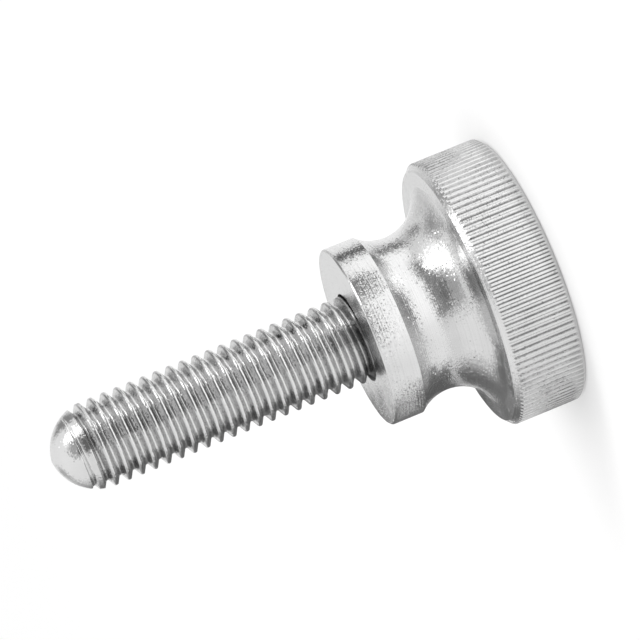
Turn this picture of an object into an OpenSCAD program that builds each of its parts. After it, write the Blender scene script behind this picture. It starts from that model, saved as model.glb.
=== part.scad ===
// Knurled thumb screw: a turned head with a knurled rim, a hollow neck and a
// collar, and a threaded stud with a rounded end that is fixed in the head.
// The screw stands on the outer face of its head. The origin is the centre of
// that face, and +Z runs along the axis to the rounded end of the stud.

/* [Thread] */
// Major diameter of the right-hand thread
thread_d = 8; // [6:0.5:9]
// Distance from one turn of the thread to the next
pitch = 1.25; // [0.8:0.05:1.5]
// Straight segments in one turn of the thread
turn_segments = 32; // [24:4:40]

/* [Stud] */
// Free length of the stud, from the collar to its rounded end
stud_l = 29.2; // [20:0.1:40]
// Radius of the arc that rounds the end of the stud
end_arc_r = 4.5; // [4.5:0.1:8]
// Length of the thread that is let into the mouth of the head
thread_in_l = 1.6; // [1:0.1:3]
// Length of the plain shank behind the thread
shank_l = 8; // [4:0.5:10]
// Clearance all round between the stud and its hole
fit_gap = 0.02; // [0.01:0.01:0.05]

/* [Rim] */
// Diameter over the teeth of the knurled rim
rim_d = 25; // [22:0.5:32]
// Thickness of the rim
rim_w = 6.85; // [5:0.05:9]
// Bevel between the teeth and the front face of the rim
front_bevel = 0.6; // [0.3:0.05:1]
// Bevel between the teeth and the outer face
foot_bevel = 0.45; // [0.3:0.05:1]
// Number of teeth round the rim
teeth = 118; // [80:1:140]
// Depth of the grooves between the teeth
groove_h = 0.22; // [0.1:0.01:0.3]
// Depth of the fine line along the top of each tooth
crest_line_h = 0.07; // [0.02:0.01:0.1]

/* [Neck and collar] */
// Diameter of the neck at its thinnest
neck_d = 14.6; // [13:0.1:16]
// Radius of the hollow round the neck
hollow_r = 4.3; // [3.6:0.1:5]
// Diameter at which the hollow runs out on the front face of the rim
flare_d = 20.8; // [18:0.1:21]
// Diameter of the collar
collar_d = 16.7; // [16.2:0.1:18]
// Length of the straight side of the collar
collar_w = 2.9; // [2:0.1:5]
// Bevel on the front edge of the collar
collar_bevel = 0.15; // [0.05:0.05:0.4]

/* [Hidden] */
$fn = 96;

// Straight steps in the arc that rounds the end of the stud
end_steps = 12;
// How far a cutter reaches past the surface that it cuts, and one piece into the next
proud = 0.1;
// Angle of the drill point at the bottom of the hole
drill_point = 118;

// The hollow is one arc. It starts at the flare on the rim and ends in a sharp
// edge at the collar, and reach(r) is how far along the axis that is from its middle.
hollow_x = neck_d / 2 + hollow_r;
function reach(r) = sqrt(pow(hollow_r, 2) - pow(hollow_x - r, 2));
hollow_z = rim_w + reach(flare_d / 2);
collar_z = hollow_z + reach(collar_d / 2);
head_l = collar_z + collar_w;

// Metric thread form: 60 degree flanks, a flat crest and a narrow flat root
thread_h = 0.6134 * pitch;
crest_w = pitch / 8;
root_w = pitch - crest_w - 2 * thread_h * tan(30);
major_r = thread_d / 2;
root_r = major_r - thread_h;
ridge_r = root_r + (pitch - root_w) / 2 / tan(30);
// A rolled thread is raised on a blank of its pitch diameter
shank_r = major_r - 0.3248 * pitch;

thread_z = head_l - thread_in_l;
shank_z = thread_z - shank_l;
tip_z = head_l + stud_l;

// Section of the head without teeth or hole, from the axis outwards
module head_section() {
    difference() {
        union() {
            square([flare_d / 2, hollow_z]);
            square([collar_d / 2, collar_z]);
        }
        translate([hollow_x, hollow_z]) circle(hollow_r);
    }
    bevelled_disc(collar_d / 2, collar_z, collar_w, 0, collar_bevel);
    bevelled_disc(rim_d / 2, 0, rim_w, foot_bevel, front_bevel);
}

// Half section of a disc of radius r with 45 degree bevels at its two edges
module bevelled_disc(r, z, w, low_bevel, high_bevel) {
    translate([0, z])
        polygon([
            [0, 0], [r - low_bevel, 0], [r, low_bevel],
            [r, w - high_bevel], [r - high_bevel, w], [0, w]
        ]);
}

// Outline of the teeth. Angles are in shares of one tooth, from the middle of a groove.
groove_floor = 0.06;
flank_end = 0.33;
line_start = 0.43;
function tooth_corners() = [
    [-groove_floor, -groove_h], [groove_floor, -groove_h], [flank_end, proud], [line_start, proud],
    [0.5, -crest_line_h], [1 - line_start, proud], [1 - flank_end, proud]
];
module tooth_outline() {
    polygon([
        for (i = [0 : teeth - 1], c = tooth_corners())
            let (a = 360 * (i + c[0]) / teeth, r = rim_d / 2 + c[1])
                [r * cos(a), r * sin(a)]
    ]);
}

// Ring with the teeth as its inside, which cuts the grooves along the rim
module knurl_cutter() {
    translate([0, 0, -proud])
        linear_extrude(rim_w + 2 * proud)
            difference() {
                circle(rim_d / 2 + 2 * proud);
                tooth_outline();
            }
}

// Blind stepped hole that holds the stud, with a drill point at its end
module stud_hole() {
    mouth_r = major_r + fit_gap;
    hole_r = shank_r + fit_gap;
    point_h = hole_r / tan(drill_point / 2);
    translate([0, 0, thread_z]) cylinder(r = mouth_r, h = thread_in_l + proud);
    translate([0, 0, shank_z]) cylinder(r = hole_r, h = shank_l + proud);
    translate([0, 0, shank_z - point_h]) cylinder(r1 = 0, r2 = hole_r, h = point_h);
}

module knurled_head() {
    color("silver")
        difference() {
            rotate_extrude() head_section();
            knurl_cutter();
            stud_hole();
        }
}

// The ridge of the thread as one helical strip. Each step of a turn has three
// corners: the top of the ridge and the two sides of the root above it.
function ridge_corners() = [
    [ridge_r, 0], [root_r, (pitch - root_w) / 2], [root_r, (pitch + root_w) / 2]
];
module helical_ridge(z_low, z_high) {
    n = turn_segments;
    steps = n * ceil((z_high - z_low) / pitch + 2);
    start_z = z_low - pitch;
    corners = [
        for (s = [0 : steps], c = ridge_corners())
            let (a = 360 * s / n)
                [c[0] * cos(a), c[0] * sin(a), start_z + c[1] + pitch * s / n]
    ];
    low_centre = len(corners);
    high_centre = low_centre + 1;
    ends = [[0, 0, start_z - pitch], [0, 0, start_z + pitch * (steps / n + 1)]];
    strip = [
        for (s = [0 : steps - 1])
            for (c = [0 : s + n < steps ? 2 : 1])
                let (here = 3 * s + c, above = c < 2 ? here + 1 : 3 * (s + n))
                    each [[here, above, above + 3], [here, above + 3, here + 3]]
    ];
    low_rim = [for (s = [0 : n]) 3 * s, 2, 1];
    high_rim = [for (s = [steps : -1 : steps - n]) 3 * s + 2, 3 * steps, 3 * steps + 1];
    polyhedron(
        concat(corners, ends),
        concat(strip, end_fan(low_rim, low_centre), end_fan(high_rim, high_centre))
    );
}
// Triangles from an end's centre to each side of its rim
function end_fan(rim, centre) = [
    for (i = [0 : len(rim) - 1]) [centre, rim[i], rim[(i + 1) % len(rim)]]
];

// Half section of the threaded length: a cylinder whose end is rounded by an arc
// that starts square with the side
module threaded_section() {
    sweep = acos(1 - major_r / end_arc_r);
    arc_z = tip_z - end_arc_r * sin(sweep);
    polygon([
        [0, thread_z],
        [major_r, thread_z],
        for (i = [0 : end_steps])
            let (a = sweep * i / end_steps)
                [major_r - end_arc_r * (1 - cos(a)), arc_z + end_arc_r * sin(a)]
    ]);
}

module threaded_stud() {
    color("gainsboro") {
        intersection() {
            rotate_extrude() threaded_section();
            helical_ridge(thread_z, tip_z);
        }
        translate([0, 0, shank_z]) cylinder(r = shank_r, h = shank_l + proud);
    }
}

knurled_head();
threaded_stud();
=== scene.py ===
"""The looks of the knurled thumb screw: a finely modelled head and stud with their metal finishes,
and the stage, light and camera round them."""
import bisect
import math

import bmesh
import bpy
from mathutils import Matrix, Quaternion, Vector


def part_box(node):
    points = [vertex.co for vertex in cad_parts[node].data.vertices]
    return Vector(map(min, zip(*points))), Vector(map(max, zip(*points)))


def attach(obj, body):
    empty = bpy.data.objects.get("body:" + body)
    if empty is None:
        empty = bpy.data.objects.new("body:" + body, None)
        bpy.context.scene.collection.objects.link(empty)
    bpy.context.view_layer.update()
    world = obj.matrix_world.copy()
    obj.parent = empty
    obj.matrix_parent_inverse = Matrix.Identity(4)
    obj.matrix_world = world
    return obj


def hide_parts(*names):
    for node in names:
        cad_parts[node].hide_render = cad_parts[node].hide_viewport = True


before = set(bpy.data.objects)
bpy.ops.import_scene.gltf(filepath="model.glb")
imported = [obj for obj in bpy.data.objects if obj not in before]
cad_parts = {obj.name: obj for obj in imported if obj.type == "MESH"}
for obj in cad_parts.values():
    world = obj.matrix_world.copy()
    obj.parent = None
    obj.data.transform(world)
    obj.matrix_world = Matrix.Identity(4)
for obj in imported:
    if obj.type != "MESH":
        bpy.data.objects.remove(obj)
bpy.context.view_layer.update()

MM = 0.001

# ---------------------------------------------------------------- sizes, in metres
RIM_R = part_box("knurled_head")[1].y
HEAD_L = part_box("knurled_head")[1].z
THREAD_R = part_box("threaded_stud")[1].y
SHANK_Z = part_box("threaded_stud")[0].z
TIP_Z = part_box("threaded_stud")[1].z

# The rim's cuts are the numbers of equal pieces that the lines of its outline are cut into.
RIM_W = 6.85 * MM
FRONT_BEVEL = 0.6 * MM
FOOT_BEVEL = 0.45 * MM
RIM_LIP = 0.06 * MM
RIM_CUTS = (1, 9, 6, 12, 1)
FACE_RINGS = (2 * MM, 5 * MM, 8 * MM, 11 * MM)

# The knurl. Places across a tooth are shares of it, from the middle of a groove. The painted shade on
# a flank ends at its reach and fades before it, both in half widths of the flank.
TEETH = 118
TOOTH_TURN = 0.4
GROOVE_H = 0.2 * MM
GROOVE_FLOOR = 0.16
FLANK_END = 0.34
TOOTH_ROUND = 0.03
FLANK_PAINTED_SHADE = 0.68
FLANK_SHADE_REACH = 1.3
FLANK_SHADE_FADE = 0.4

NECK_R = 7.3 * MM
HOLLOW_R = 4.3 * MM
HOLLOW_STEPS = 44
FLARE_R = 10.4 * MM
FLARE_ROUND = 0.3 * MM
COLLAR_R = 8.35 * MM
COLLAR_BEVEL = 0.15 * MM
COLLAR_ROUND = 0.08 * MM
COLLAR_BACK_ROUND = 0.05 * MM

# The thread. A place on it is measured along the axis from the middle of a crest, towards the tip.
# The hidden shank has the pitch diameter: its wall lies a share of the pitch below the crests.
PITCH = 1.25 * MM
THREAD_H = 0.56 * PITCH
CREST_W = 0.21 * PITCH
CREST_ROUND = 0.2 * MM
ROOT_ROUND = 0.14 * MM
ROUND_STEPS = 4
FLANK_STEPS = 5
STUD_COLUMNS = 112
END_ARC_R = 4.5 * MM
END_STEPS = 24
THREAD_IN_L = 1.6 * MM
THREAD_Z = HEAD_L - THREAD_IN_L
THREAD_SHIFT = 0.045 * MM
FIRST_CREST_Z = THREAD_Z - PITCH - THREAD_SHIFT
ARC_L = math.sqrt(END_ARC_R ** 2 - (END_ARC_R - THREAD_R) ** 2)
PITCH_LINE = 0.3248
SHANK_R = THREAD_R - PITCH_LINE * PITCH

# The thread's tones multiply the metal's own lightness: painted shade towards the feet of the flanks
# and where the thread enters the collar, painted highlight on the crests and roots, and a dark line
# beside the middle of the crest. Depths, reaches and the root's fade are shares of the thread's
# depth. The dark line ends where the rounded end cuts the thread.
CREST_PAINTED_HIGHLIGHT = 1.04
CREST_DEPTH = 0.25
TIP_FOOT_PAINTED_SHADE = 0.78
TIP_FOOT_REACH = 0.6
HEAD_FOOT_PAINTED_SHADE = 0.66
HEAD_FOOT_REACH = 0.3
ROOT_PAINTED_HIGHLIGHT = 1.08
ROOT_DEPTH = 0.87
ROOT_FADE = 0.08
DARK_LINE_TONE = 0.6
DARK_LINE_AT = 0.17 * MM
DARK_LINE_W = 0.09 * MM
DARK_LINE_DEPTH = 0.3
DARK_LINE_CUT = 0.1 * MM
ENTRY_PAINTED_SHADE = 0.4
ENTRY_L = 1.5 * MM

# The narrow gap round the stud where it enters the collar, with a painted shadow in it.
FIT_GAP = 0.02 * MM
MOUTH_R = THREAD_R + 0.15 * MM
MOUTH_H = 0.35 * MM
MOUTH_PAINTED_SHADOW = 0.1
EDGE = 0.02 * MM

# A distance too small to see, the distance below which points are joined, and the angle from which
# an edge is drawn sharp.
HAIR = 0.01 * MM
WELD = 0.0002 * MM
SHARP = math.radians(28)


# ---------------------------------------------------------------- outlines
def rounded(points, radii, steps=3):
    """An open outline with its corners rounded; the radii go with the points, and 0 keeps a corner."""
    out = []
    for i, (here, radius) in enumerate(zip(points, radii)):
        if not radius:
            out.append(Vector(here))
            continue
        corner, before, after = (Vector(p) for p in (here, points[i - 1], points[i + 1]))
        back, on = (before - corner).normalized(), (after - corner).normalized()
        cut = radius / math.tan(back.angle(on) / 2)
        start, end = corner + back * cut, corner + on * cut
        for t in (k / steps for k in range(steps + 1)):
            out.append(start * (1 - t) ** 2 + corner * 2 * t * (1 - t) + end * t * t)
    return out


def split(points, counts):
    """An outline with each of its lines cut into equal pieces; there is one count for each line."""
    out = []
    for a, b, count in zip(points, points[1:], counts):
        out += [Vector(a).lerp(Vector(b), i / count) for i in range(count)]
    return out + [Vector(points[-1])]


def hollow_reach(radius):
    """How far along the axis from its middle the hollow round the neck meets a radius."""
    return math.sqrt(HOLLOW_R ** 2 - (NECK_R + HOLLOW_R - radius) ** 2)


def rim_outline():
    """(radius, height) from the outer face of the rim over the teeth to the front face."""
    points = [
        (RIM_R - FOOT_BEVEL - RIM_LIP, 0),
        (RIM_R - FOOT_BEVEL, 0),
        (RIM_R, FOOT_BEVEL),
        (RIM_R, RIM_W - FRONT_BEVEL),
        (RIM_R - FRONT_BEVEL, RIM_W),
        (RIM_R - FRONT_BEVEL - RIM_LIP, RIM_W),
    ]
    return split(points, RIM_CUTS)


def neck_outline():
    """(radius, height) from the front face of the rim over the neck and the collar into the hole."""
    middle = RIM_W + hollow_reach(FLARE_R)
    low, high = (math.asin(hollow_reach(r) / HOLLOW_R) for r in (FLARE_R, COLLAR_R))
    turns = [-low + (low + high) * i / HOLLOW_STEPS for i in range(HOLLOW_STEPS + 1)]
    hollow = [
        (NECK_R + HOLLOW_R * (1 - math.cos(a)), middle + HOLLOW_R * math.sin(a)) for a in turns
    ]
    hole_r = THREAD_R + FIT_GAP
    collar = [
        (COLLAR_R, HEAD_L - COLLAR_BEVEL),
        (COLLAR_R - COLLAR_BEVEL, HEAD_L),
        (MOUTH_R + EDGE, HEAD_L),
        (MOUTH_R, HEAD_L - EDGE),
        (hole_r, HEAD_L - MOUTH_H),
        (hole_r, THREAD_Z),
    ]
    points = [(RIM_R - FRONT_BEVEL - 2 * RIM_LIP, RIM_W)] + hollow + collar
    hollow_radii = [FLARE_ROUND] + [0] * (HOLLOW_STEPS - 1) + [COLLAR_BACK_ROUND]
    collar_radii = [COLLAR_ROUND, COLLAR_ROUND, 0, 0, 0, 0]
    return rounded(points, [0] + hollow_radii + collar_radii)


def tooth_outline():
    """(share of a tooth, depth) from the middle of one groove to the middle of the next."""
    half = rounded(
        [
            (0, GROOVE_H / MM),
            (GROOVE_FLOOR, GROOVE_H / MM),
            ((GROOVE_FLOOR + FLANK_END) / 2, GROOVE_H / MM / 2),
            (FLANK_END, 0),
            (0.5, 0),
        ],
        [0, TOOTH_ROUND, 0, TOOTH_ROUND, 0],
        steps=2,
    )
    return [(p[0], p[1] * MM) for p in half] + [(1 - p[0], p[1] * MM) for p in half[-2:0:-1]]


def thread_outline():
    """(place, radius) over one pitch, from the middle of one crest to just before the next."""
    edge = CREST_W / 2
    foot = edge + THREAD_H / math.sqrt(3)
    root_r = THREAD_R - THREAD_H
    points = [(0, THREAD_R), (edge, THREAD_R), (foot, root_r), (PITCH / 2, root_r)]
    half = rounded(points, [0, CREST_ROUND, ROOT_ROUND, 0], steps=ROUND_STEPS)
    top, bottom = ROUND_STEPS + 1, ROUND_STEPS + 2
    flank = split((half[top], half[bottom]), (FLANK_STEPS,))
    half = half[:top] + flank + half[bottom + 1:]
    return half + [Vector((PITCH - p.x, p.y)) for p in half[-2:0:-1]]


THREAD = thread_outline()


def thread_radius(place):
    """Radius of the thread at a distance from the middle of a crest."""
    place %= PITCH
    points = THREAD + [Vector((PITCH, THREAD_R))]
    i = bisect.bisect_right([p.x for p in points], place) - 1
    a, b = points[i], points[min(i + 1, len(points) - 1)]
    return a.y + (b.y - a.y) * (place - a.x) / (b.x - a.x) if b.x > a.x else a.y


def end_radius(z):
    """Radius at which the rounded end limits the stud."""
    up = max(z - TIP_Z + ARC_L, 0)
    return THREAD_R - END_ARC_R + math.sqrt(max(END_ARC_R ** 2 - up * up, 0))


# ---------------------------------------------------------------- meshes
def mesh_object(name, verts, faces):
    """An object from points and faces, with doubled points joined and faces turned outwards."""
    mesh = bpy.data.meshes.new(name)
    mesh.from_pydata(verts, [], faces)
    welded = bmesh.new()
    welded.from_mesh(mesh)
    bmesh.ops.remove_doubles(welded, verts=welded.verts, dist=WELD)
    bmesh.ops.recalc_face_normals(welded, faces=welded.faces)
    welded.to_mesh(mesh)
    welded.free()
    piece = bpy.data.objects.new(name, mesh)
    bpy.context.scene.collection.objects.link(piece)
    return piece


def store(piece, name, values):
    """Keep one number for each point of a piece, for its material to read."""
    field = piece.data.attributes.new(name, "FLOAT", "POINT")
    field.data.foreach_set("value", values)


def circle(radius, z, count):
    """The points of a level ring round the axis."""
    turns = (2 * math.pi * i / count for i in range(count))
    return [(radius * math.cos(a), radius * math.sin(a), z) for a in turns]


def sheet_faces(rows, columns):
    """The faces of a sheet of rows and columns, whose points are numbered row by row."""
    wide = columns + 1
    return [
        [j * wide + i, j * wide + i + 1, (j + 1) * wide + i + 1, (j + 1) * wide + i]
        for j in range(rows)
        for i in range(columns)
    ]


def skin(rings):
    """Points and faces that join rings in order. A ring has as many points as its neighbour, a whole
    multiple or a whole part of them, or a single point."""
    verts, faces = [], []
    first = 0
    for ring, following in zip(rings, rings[1:]):
        verts += ring
        n, m = len(ring), len(following)
        for i in range(max(n, m)):
            low = [first + k * n // max(n, m) % n for k in (i, i + 1)]
            high = [first + n + k * m // max(n, m) % m for k in (i + 1, i)]
            face = list(dict.fromkeys(low + high))
            if len(face) > 2:
                faces.append(face)
        first += n
    return verts + rings[-1], faces


def limited(value):
    """A value held between 0 and 1."""
    return min(max(value, 0), 1)


def head_painted_shade(x, y, z):
    """Painted shade at a point of the head, as a share of the metal's lightness: painted shade on the
    steep sides of the knurl's grooves, and an almost black painted shadow in the narrow gap round the
    stud."""
    radius = math.hypot(x, y)
    if z > THREAD_Z - EDGE and radius < MOUTH_R + EDGE / 2:
        return MOUTH_PAINTED_SHADOW
    bevel = max(FOOT_BEVEL - z, z - RIM_W + FRONT_BEVEL, 0)
    if z > RIM_W or bevel > GROOVE_H or radius < RIM_R - bevel - GROOVE_H - HAIR:
        return 1
    at = (math.atan2(y, x) / (2 * math.pi) * TEETH - TOOTH_TURN) % 1
    from_flank = abs(min(at, 1 - at) - (GROOVE_FLOOR + FLANK_END) / 2)
    side = from_flank * 2 / (FLANK_END - GROOVE_FLOOR)
    dark = (1 - bevel / GROOVE_H) * limited((FLANK_SHADE_REACH - side) / FLANK_SHADE_FADE)
    return 1 - (1 - FLANK_PAINTED_SHADE) * dark


def make_head():
    """The head is a stack of rings: those of the rim follow the teeth, the others are plain."""
    tooth = tooth_outline()[:-1]
    columns = [
        (2 * math.pi * (i + at + TOOTH_TURN) / TEETH, depth)
        for i in range(TEETH)
        for at, depth in tooth
    ]
    plain = TEETH * 2
    rings = [[(0, 0, 0)]] + [circle(r, 0, plain) for r in FACE_RINGS]
    for r, z in rim_outline():
        radii = [(a, min(r, RIM_R - depth)) for a, depth in columns]
        rings.append([(q * math.cos(a), q * math.sin(a), z) for a, q in radii])
    rings += [circle(r, z, plain) for r, z in neck_outline()]
    rings.append([(0, 0, THREAD_Z)])
    piece = mesh_object("head", *skin(rings))
    # Each point's tone is painted shade, on the knurl's flanks and in the gap round the stud.
    store(piece, "tone", [head_painted_shade(*vertex.co) for vertex in piece.data.vertices])
    return piece


def stud_painted_shading(x, y, z):
    """Painted light and shade at a point of the stud, as a share of the metal's lightness: painted
    shade towards the feet of the flanks and where the thread enters the collar, painted highlight on
    the crests and roots, and a dark line beside the middle of the crest."""
    limit = end_radius(z)
    sunk = limited((limit - math.hypot(x, y)) / THREAD_H)
    lead = math.atan2(y, x) / (2 * math.pi) * PITCH
    place = (z - FIRST_CREST_Z - lead + PITCH / 2) % PITCH - PITCH / 2
    foot, reach = (
        (TIP_FOOT_PAINTED_SHADE, TIP_FOOT_REACH) if place > 0 else (HEAD_FOOT_PAINTED_SHADE, HEAD_FOOT_REACH)
    )
    tone = foot + (CREST_PAINTED_HIGHLIGHT - foot) * limited((reach + CREST_DEPTH - sunk) / reach)
    tone += (ROOT_PAINTED_HIGHLIGHT - tone) * limited((sunk - ROOT_DEPTH) / ROOT_FADE)
    if sunk < DARK_LINE_DEPTH and THREAD_R - limit <= DARK_LINE_CUT:
        tone -= (CREST_PAINTED_HIGHLIGHT - DARK_LINE_TONE) * max(1 - abs(place - DARK_LINE_AT) / DARK_LINE_W, 0)
    return tone * (ENTRY_PAINTED_SHADE + (1 - ENTRY_PAINTED_SHADE) * limited((z - HEAD_L) / ENTRY_L))


def make_stud():
    """The thread is one helical sheet whose rows follow the crests; plain rings close both ends."""
    root_r = THREAD_R - THREAD_H
    dome_z = TIP_Z - ARC_L + math.sqrt(END_ARC_R ** 2 - (root_r - THREAD_R + END_ARC_R) ** 2)
    turns = math.ceil((dome_z - FIRST_CREST_Z) / PITCH) + 1
    rows = [PITCH * turn + point.x for turn in range(turns) for point in THREAD]

    def point(row, column):
        lead = FIRST_CREST_Z + PITCH * column / STUD_COLUMNS
        z = min(max(lead + row, THREAD_Z), dome_z)
        r = min(thread_radius(z - lead), end_radius(z))
        a = 2 * math.pi * column / STUD_COLUMNS
        return (r * math.cos(a), r * math.sin(a), z)

    verts = [point(row, column) for row in rows for column in range(STUD_COLUMNS + 1)]
    faces = sheet_faces(len(rows) - 1, STUD_COLUMNS)
    dome = [circle(end_radius(dome_z), dome_z, STUD_COLUMNS)]
    flat = math.asin((dome_z - TIP_Z + ARC_L) / END_ARC_R)
    steep = math.asin(ARC_L / END_ARC_R)
    for i in range(1, END_STEPS):
        z = TIP_Z - ARC_L + END_ARC_R * math.sin(flat + (steep - flat) * i / END_STEPS)
        dome.append(circle(end_radius(z), z, STUD_COLUMNS))
    dome.append([(0, 0, TIP_Z)])
    shank = [
        [(0, 0, SHANK_Z)],
        circle(SHANK_R, SHANK_Z, STUD_COLUMNS),
        circle(SHANK_R, THREAD_Z - HAIR, STUD_COLUMNS),
        [(*point(0, i)[:2], THREAD_Z) for i in range(STUD_COLUMNS)],
    ]
    for rings in (dome, shank):
        more, sides = skin(rings)
        faces += [[len(verts) + corner for corner in face] for face in sides]
        verts += more
    piece = mesh_object("stud", verts, faces)
    # Each point's tone is painted light and shade on the thread.
    store(piece, "tone", [stud_painted_shading(*vertex.co) for vertex in piece.data.vertices])
    return piece


head, stud = make_head(), make_stud()
for piece, node, slot in ((head, "knurled_head", "head_steel"), (stud, "threaded_stud", "stud_steel")):
    piece.data.shade_smooth()
    piece.data.set_sharp_from_angle(angle=SHARP)
    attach(piece, "root")
    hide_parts(node)


# ---------------------------------------------------------------- materials
# Ranges are (lowest, highest). A pit ends between two distances from its middle, in cells.
NOISE_MOST = (0.3, 0.7)
NOISE_MIDDLE = (0.35, 0.65)
TURNING_SIZE = 0.14 * MM
PATCH_SIZE = 2.6 * MM
UNEVEN_SIZE = 1.6 * MM
UNEVEN = (0.8, 1.2)
PIT_CELL = 0.9 * MM
PIT_EDGE = (0.05, 0.11)
PIT_H = 0.006 * MM
PIT_TONE = 0.2
FACET_SIZE = 0.11 * MM
FACET_SHARE = (0.5, 1.0)
FACET_MIDDLE = (0.5, 0.5, 0.5)
FACET_POWER = 2.0
FACET_GAIN = 4.6
METAL_TONE = (0.65, 0.71)
SHINE_SPAN = 0.12


class Shader:
    """A material or world under construction: makes nodes and joins them."""

    def __init__(self, owner):
        owner.use_nodes = True
        self.nodes, self.links = owner.node_tree.nodes, owner.node_tree.links
        self.nodes.clear()

    def node(self, kind, settings=None, **inputs):
        """A new node. Its inputs are given by name, or as i0, i1 and so on, by a value or a socket."""
        made = self.nodes.new("ShaderNode" + kind)
        for key, value in (settings or {}).items():
            setattr(made, key, value)
        for key, value in inputs.items():
            place = made.inputs[int(key[1:]) if key[1:].isdigit() else key.replace("_", " ")]
            if isinstance(value, bpy.types.NodeSocket):
                self.links.new(value, place)
            else:
                place.default_value = value
        return made

    def math(self, kind, *values):
        """The result of a calculation with numbers or sockets, in order."""
        inputs = {f"i{i}": value for i, value in enumerate(values)}
        return self.node("Math", {"operation": kind}, **inputs).outputs[0]

    def spread(self, value, old, new):
        """A value moved from an old (low, high) range to a new one, and held inside it."""
        inputs = dict(zip(("From_Min", "From_Max", "To_Min", "To_Max"), (*old, *new)))
        return self.node("MapRange", Value=value, **inputs).outputs["Result"]

    def noise(self, place, size, detail=2.0):
        """Soft noise from 0 to 1 whose spots are about a size across."""
        return self.node("TexNoise", Vector=place, Scale=1 / size, Detail=detail).outputs["Fac"]

    def cells(self, place, size):
        """The outputs of a pattern of random cells that are about a size across."""
        return self.node("TexVoronoi", {"feature": "F1"}, Vector=place, Scale=1 / size).outputs

    def vector(self, kind, **inputs):
        """The outputs of a calculation with vectors."""
        return self.node("VectorMath", {"operation": kind}, **inputs).outputs


def grey(value):
    """A colour without a tint."""
    return (value, value, value, 1)


def steel(name, sparkle, turning_h, turning_tone, shine):
    """Bright plated steel: tiny tilted facets that sparkle, rings left by turning, small pits,
    patches of other gloss, and the painted light and shade that each piece stores, which darkens its
    grooves and lightens the stud's crests and roots. The shine is the lowest roughness; the turning
    has a height and a share of the tone."""
    s = Shader(bpy.data.materials.new(name))
    place = s.node("TexCoord").outputs["Object"]
    xyz = s.node("SeparateXYZ", Vector=place).outputs
    radius = s.math("SQRT", s.math("ADD", s.math("POWER", xyz[0], 2.0), s.math("POWER", xyz[1], 2.0)))
    rings = s.node("CombineXYZ", X=radius, Z=xyz[2]).outputs[0]

    turning = s.noise(rings, TURNING_SIZE)
    patches = s.noise(place, PATCH_SIZE)
    pit = s.spread(s.cells(place, PIT_CELL)["Distance"], PIT_EDGE, (1.0, 0.0))
    height = s.math("MULTIPLY", turning, turning_h)
    height = s.math("SUBTRACT", height, s.math("MULTIPLY", pit, PIT_H))
    bump = s.node("Bump", Strength=1.0, Distance=1.0, Height=height)

    facets = s.cells(place, FACET_SIZE)["Color"]
    tilt = s.vector("SUBTRACT", i0=facets, i1=FACET_MIDDLE)[0]
    far = s.vector("LENGTH", i0=tilt)["Value"]
    strength = s.spread(patches, NOISE_MIDDLE, FACET_SHARE)
    strength = s.math("MULTIPLY", strength, s.math("POWER", far, FACET_POWER))
    strength = s.math("MULTIPLY", strength, FACET_GAIN * sparkle)
    tilt = s.vector("SCALE", i0=tilt, Scale=strength)[0]
    normal = s.vector("ADD", i0=bump.outputs[0], i1=tilt)[0]
    normal = s.vector("NORMALIZE", i0=normal)[0]

    # The stored tone is painted light and shade: below 1 it darkens and above 1 it lightens, by an
    # uneven amount.
    stored_light_and_shade = s.node("Attribute", {"attribute_name": "tone"}).outputs["Fac"]
    tone = s.spread(patches, NOISE_MOST, METAL_TONE)
    rings_tone = s.spread(turning, NOISE_MOST, (1 - turning_tone, 1 + turning_tone))
    tone = s.math("MULTIPLY", tone, rings_tone)
    uneven = s.spread(s.noise(place, UNEVEN_SIZE, detail=3.0), NOISE_MIDDLE, UNEVEN)
    darker = s.math("MULTIPLY", s.math("SUBTRACT", 1.0, stored_light_and_shade), uneven)
    tone = s.math("MULTIPLY", tone, s.math("SUBTRACT", 1.0, darker))
    tone = s.math("SUBTRACT", tone, s.math("MULTIPLY", pit, PIT_TONE))
    colour = s.node("CombineColor", Red=tone, Green=tone, Blue=tone).outputs[0]
    gloss = s.spread(patches, NOISE_MOST, (shine, shine + SHINE_SPAN))
    bsdf = s.node("BsdfPrincipled", Metallic=1.0, Base_Color=colour, Roughness=gloss, Normal=normal)
    s.node("OutputMaterial", Surface=bsdf.outputs[0])
    return bpy.data.materials[name]


turned = steel("turned_steel", sparkle=0.13, turning_h=0.014 * MM, turning_tone=0.045, shine=0.16)
rolled = steel("rolled_steel", sparkle=0.14, turning_h=0, turning_tone=0, shine=0.1)
head.data.materials.append(turned)
stud.data.materials.append(rolled)


# ---------------------------------------------------------------- camera
# The slope is that of the screw's axis in the picture. The framing is how far the middle of the
# collar's face lies right of the camera's aim and above it.
ELEVATION = math.radians(9.56)
PICTURE_SLOPE = math.radians(22.19)
STUD_TURN = math.radians(197.1)
DISTANCE = 358.7 * MM
FRAMING = (3.24 * MM, -1.57 * MM)
LENS = 227.8
SENSOR_W = 36
CLIP = (0.01, 20)


def camera_turn():
    """The camera's turn: the stud points left and a little down, and its end leans towards the
    camera."""
    head_way = Vector(
        (
            math.cos(ELEVATION) * math.cos(PICTURE_SLOPE),
            math.cos(ELEVATION) * math.sin(PICTURE_SLOPE),
            -math.sin(ELEVATION),
        )
    )
    side = head_way.cross(Vector((0, 0, -1))).normalized()
    x_axis = side * math.cos(STUD_TURN) + head_way.cross(side) * math.sin(STUD_TURN)
    return Matrix((x_axis, head_way.cross(x_axis) * -1, head_way * -1))


turn = camera_turn()
camera = bpy.data.objects.new("camera", bpy.data.cameras.new("camera"))
bpy.context.scene.collection.objects.link(camera)
bpy.context.scene.camera = camera
camera.data.lens = LENS
camera.data.sensor_width = SENSOR_W
camera.data.clip_start, camera.data.clip_end = CLIP
from_camera = turn @ Vector((*FRAMING, -DISTANCE))
camera.matrix_world = Matrix.Translation(Vector((0, 0, HEAD_L)) - from_camera) @ turn.to_4x4()


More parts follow.
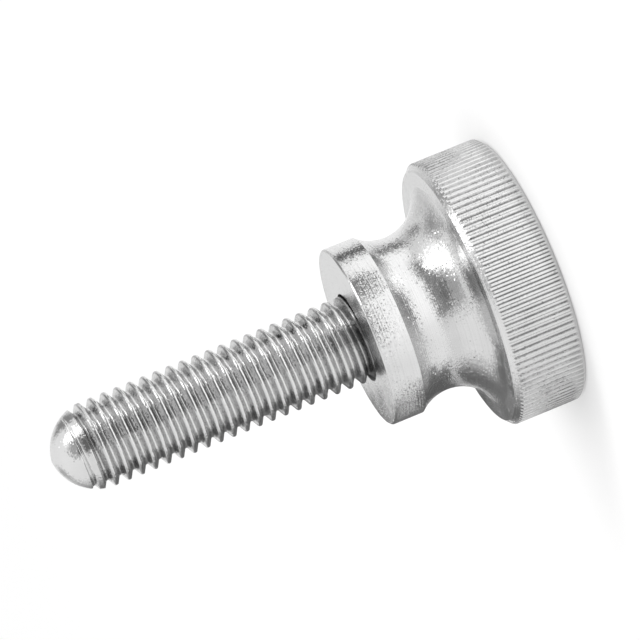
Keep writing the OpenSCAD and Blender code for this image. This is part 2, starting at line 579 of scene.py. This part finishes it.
# ---------------------------------------------------------------- stage and light
FLOOR_HALF = 3.0
FLOOR_GREY = 0.8
FLOOR_GLOW = 0.2
CARD_STEPS = 24
SKY_LOW, SKY_HIGH = 0.88, 1.05
CAMERA_AZIMUTH = math.atan2(camera.matrix_world.translation.y, camera.matrix_world.translation.x)


def around(azimuth, distance, height):
    """A point beside the screw. The azimuth is in degrees from the camera's side, and grows
    counterclockwise as seen from above."""
    a = CAMERA_AZIMUTH + math.radians(azimuth)
    return Vector((distance * math.cos(a), distance * math.sin(a), height))


def make_floor():
    """A plain pale floor that looks white and keeps the screw's soft shadow."""
    corners = [(x * FLOOR_HALF, y * FLOOR_HALF, 0) for x, y in ((-1, -1), (1, -1), (1, 1), (-1, 1))]
    floor = mesh_object("floor", corners, [[0, 1, 2, 3]])
    s = Shader(bpy.data.materials.new("floor"))
    ray = s.node("LightPath").outputs
    mirrored = s.math("MAXIMUM", ray["Is Glossy Ray"], ray["Is Transmission Ray"])
    seen = s.math("MAXIMUM", ray["Is Camera Ray"], mirrored)
    glow = s.node("Emission", Color=grey(1), Strength=s.math("MULTIPLY", seen, FLOOR_GLOW))
    matt = s.node("BsdfDiffuse", Color=grey(FLOOR_GREY))
    both = s.node("AddShader", i0=matt.outputs[0], i1=glow.outputs[0])
    s.node("OutputMaterial", Surface=both.outputs[0])
    floor.data.materials.append(bpy.data.materials["floor"])


def make_card(name, azimuths, low, high, shade, fades):
    """A card curved round the screw, seen only in the metal, as a photographer shades bright metal.
    It runs between two azimuths, and from its lower to its upper edge, each given as (distance,
    height) in millimetres. The shade is its brightness. The fades say over what share of the card
    its first side, its last side, its lower edge and its upper edge soften."""
    shares = [i / CARD_STEPS for i in range(CARD_STEPS + 1)]
    low, high = Vector(low) * MM, Vector(high) * MM
    verts, inside = [], []
    for up in shares:
        distance, height = low.lerp(high, up)
        for across in shares:
            verts.append(around(azimuths[0] + (azimuths[1] - azimuths[0]) * across, distance, height))
            edges = zip((across, 1 - across, up, 1 - up), fades)
            inside.append(math.prod(min(place / fade, 1) for place, fade in edges if fade))
    card = mesh_object(name, verts, sheet_faces(CARD_STEPS, CARD_STEPS))
    store(card, "inside", inside)
    s = Shader(bpy.data.materials.new(name))
    share = s.node("Attribute", {"attribute_name": "inside"}).outputs["Fac"]
    light = s.node("Emission", Color=grey(1), Strength=shade)
    clear = s.node("BsdfTransparent")
    both = s.node("MixShader", i0=share, i1=clear.outputs[0], i2=light.outputs[0])
    s.node("OutputMaterial", Surface=both.outputs[0])
    card.data.materials.append(bpy.data.materials[name])
    for ray in ("camera", "diffuse", "transmission", "shadow"):
        setattr(card, "visible_" + ray, False)


def make_lamp(name, azimuth, distance, height, size, roll, power):
    """A rectangular lamp aimed at the middle of the collar's face, and rolled about its aim. Its
    place and size are in metres, its azimuth and roll in degrees and its power in watts."""
    lamp = bpy.data.lights.new(name, "AREA")
    lamp.shape, (lamp.size, lamp.size_y), lamp.energy = "RECTANGLE", size, power
    holder = bpy.data.objects.new(name, lamp)
    bpy.context.scene.collection.objects.link(holder)
    holder.location = around(azimuth, distance, height)
    aim = holder.location - Vector((0, 0, HEAD_L))
    roll = Quaternion((0, 0, 1), math.radians(roll))
    holder.rotation_euler = (aim.to_track_quat("Z", "Y") @ roll).to_euler()


make_floor()

# name, azimuths, lower edge, upper edge, shade, fades
make_card("white_card", (-35, 102), (15, 0.3), (260, 0.3), 1.4, (0.25, 0.08, 0, 0.3))
make_card("front_card", (-14, 67), (70, 12), (73, 29), 0.28, (0.08, 0.06, 0.04, 0))
make_card("front_top", (-14, 49), (73, 29.1), (76, 47), 0.28, (0.08, 0.05, 0, 0.4))
make_card("camera_card", (-24, 46), (250, 8), (193, 235), 0.14, (0.25, 0.15, 0.05, 0.15))
make_card("upper_card", (-30, 64), (190, 212), (110, 540), 0.45, (0.2, 0.2, 0.05, 0.2))
make_card("under_card", (215, 288), (14, 0.3), (25, 0.35), 0.13, (0.08, 0.12, 0, 0.1))
make_card("shelf_card", (212, 288), (13.3, 7), (38, 7), 0.13, (0.08, 0.15, 0, 0.05))
make_card("floor_card", (184, 290), (46, 0.3), (84, 0.4), 0.13, (0.04, 0.38, 0.05, 0.03))
make_card("far_card", (184, 266), (83, 0.6), (117, 0.8), 0.8, (0.04, 0.5, 0.02, 0))
make_card("stud_card", (184, 270), (60, 8), (60, 36), 0.13, (0.04, 0.2, 0.08, 0.3))
make_card("lower_card", (193, 276), (120, 8), (120, 122), 0.18, (0.12, 0.39, 0.05, 0.6))
make_card("lower_top", (188, 224), (119, 66), (119, 190), 0.5, (0.2, 0.4, 0.4, 0.35))
make_card("near_card", (203, 244), (26, 8), (26, 42), 0.18, (0.05, 0.4, 0.04, 0.35))
make_card("side_card", (39, 73), (75, 0.4), (75, 16), 0.04, (0.2, 0.15, 0, 0.2))
make_card("rear_card", (96, 119), (20, 0.4), (70, 16), 0.05, (0.2, 0.2, 0, 0.3))
make_card("rear_strip", (108, 129), (71, 16), (74, 42), 0.12, (0.2, 0.15, 0.1, 0.3))
make_card("back_card", (97, 160), (85, 50), (85, 116), 0.3, (0.15, 0.25, 0.25, 0.3))
make_card("back_low", (134, 172), (84, 26), (84, 46), 0.6, (0.3, 0.3, 0.2, 0.3))

make_lamp("key", azimuth=67, distance=0.25, height=0.24, size=(0.09, 0.34), roll=-22, power=0.27)

world = bpy.data.worlds.new("studio")
bpy.context.scene.world = world
sky = Shader(world)
up = sky.node("SeparateXYZ", Vector=sky.node("TexCoord").outputs["Generated"]).outputs[2]
level = sky.spread(up, (0.0, 1.0), (SKY_LOW, SKY_HIGH))
sky.node("OutputWorld", Surface=sky.node("Background", Color=grey(1), Strength=level).outputs[0])

bpy.context.scene.view_settings.view_transform = "Standard"
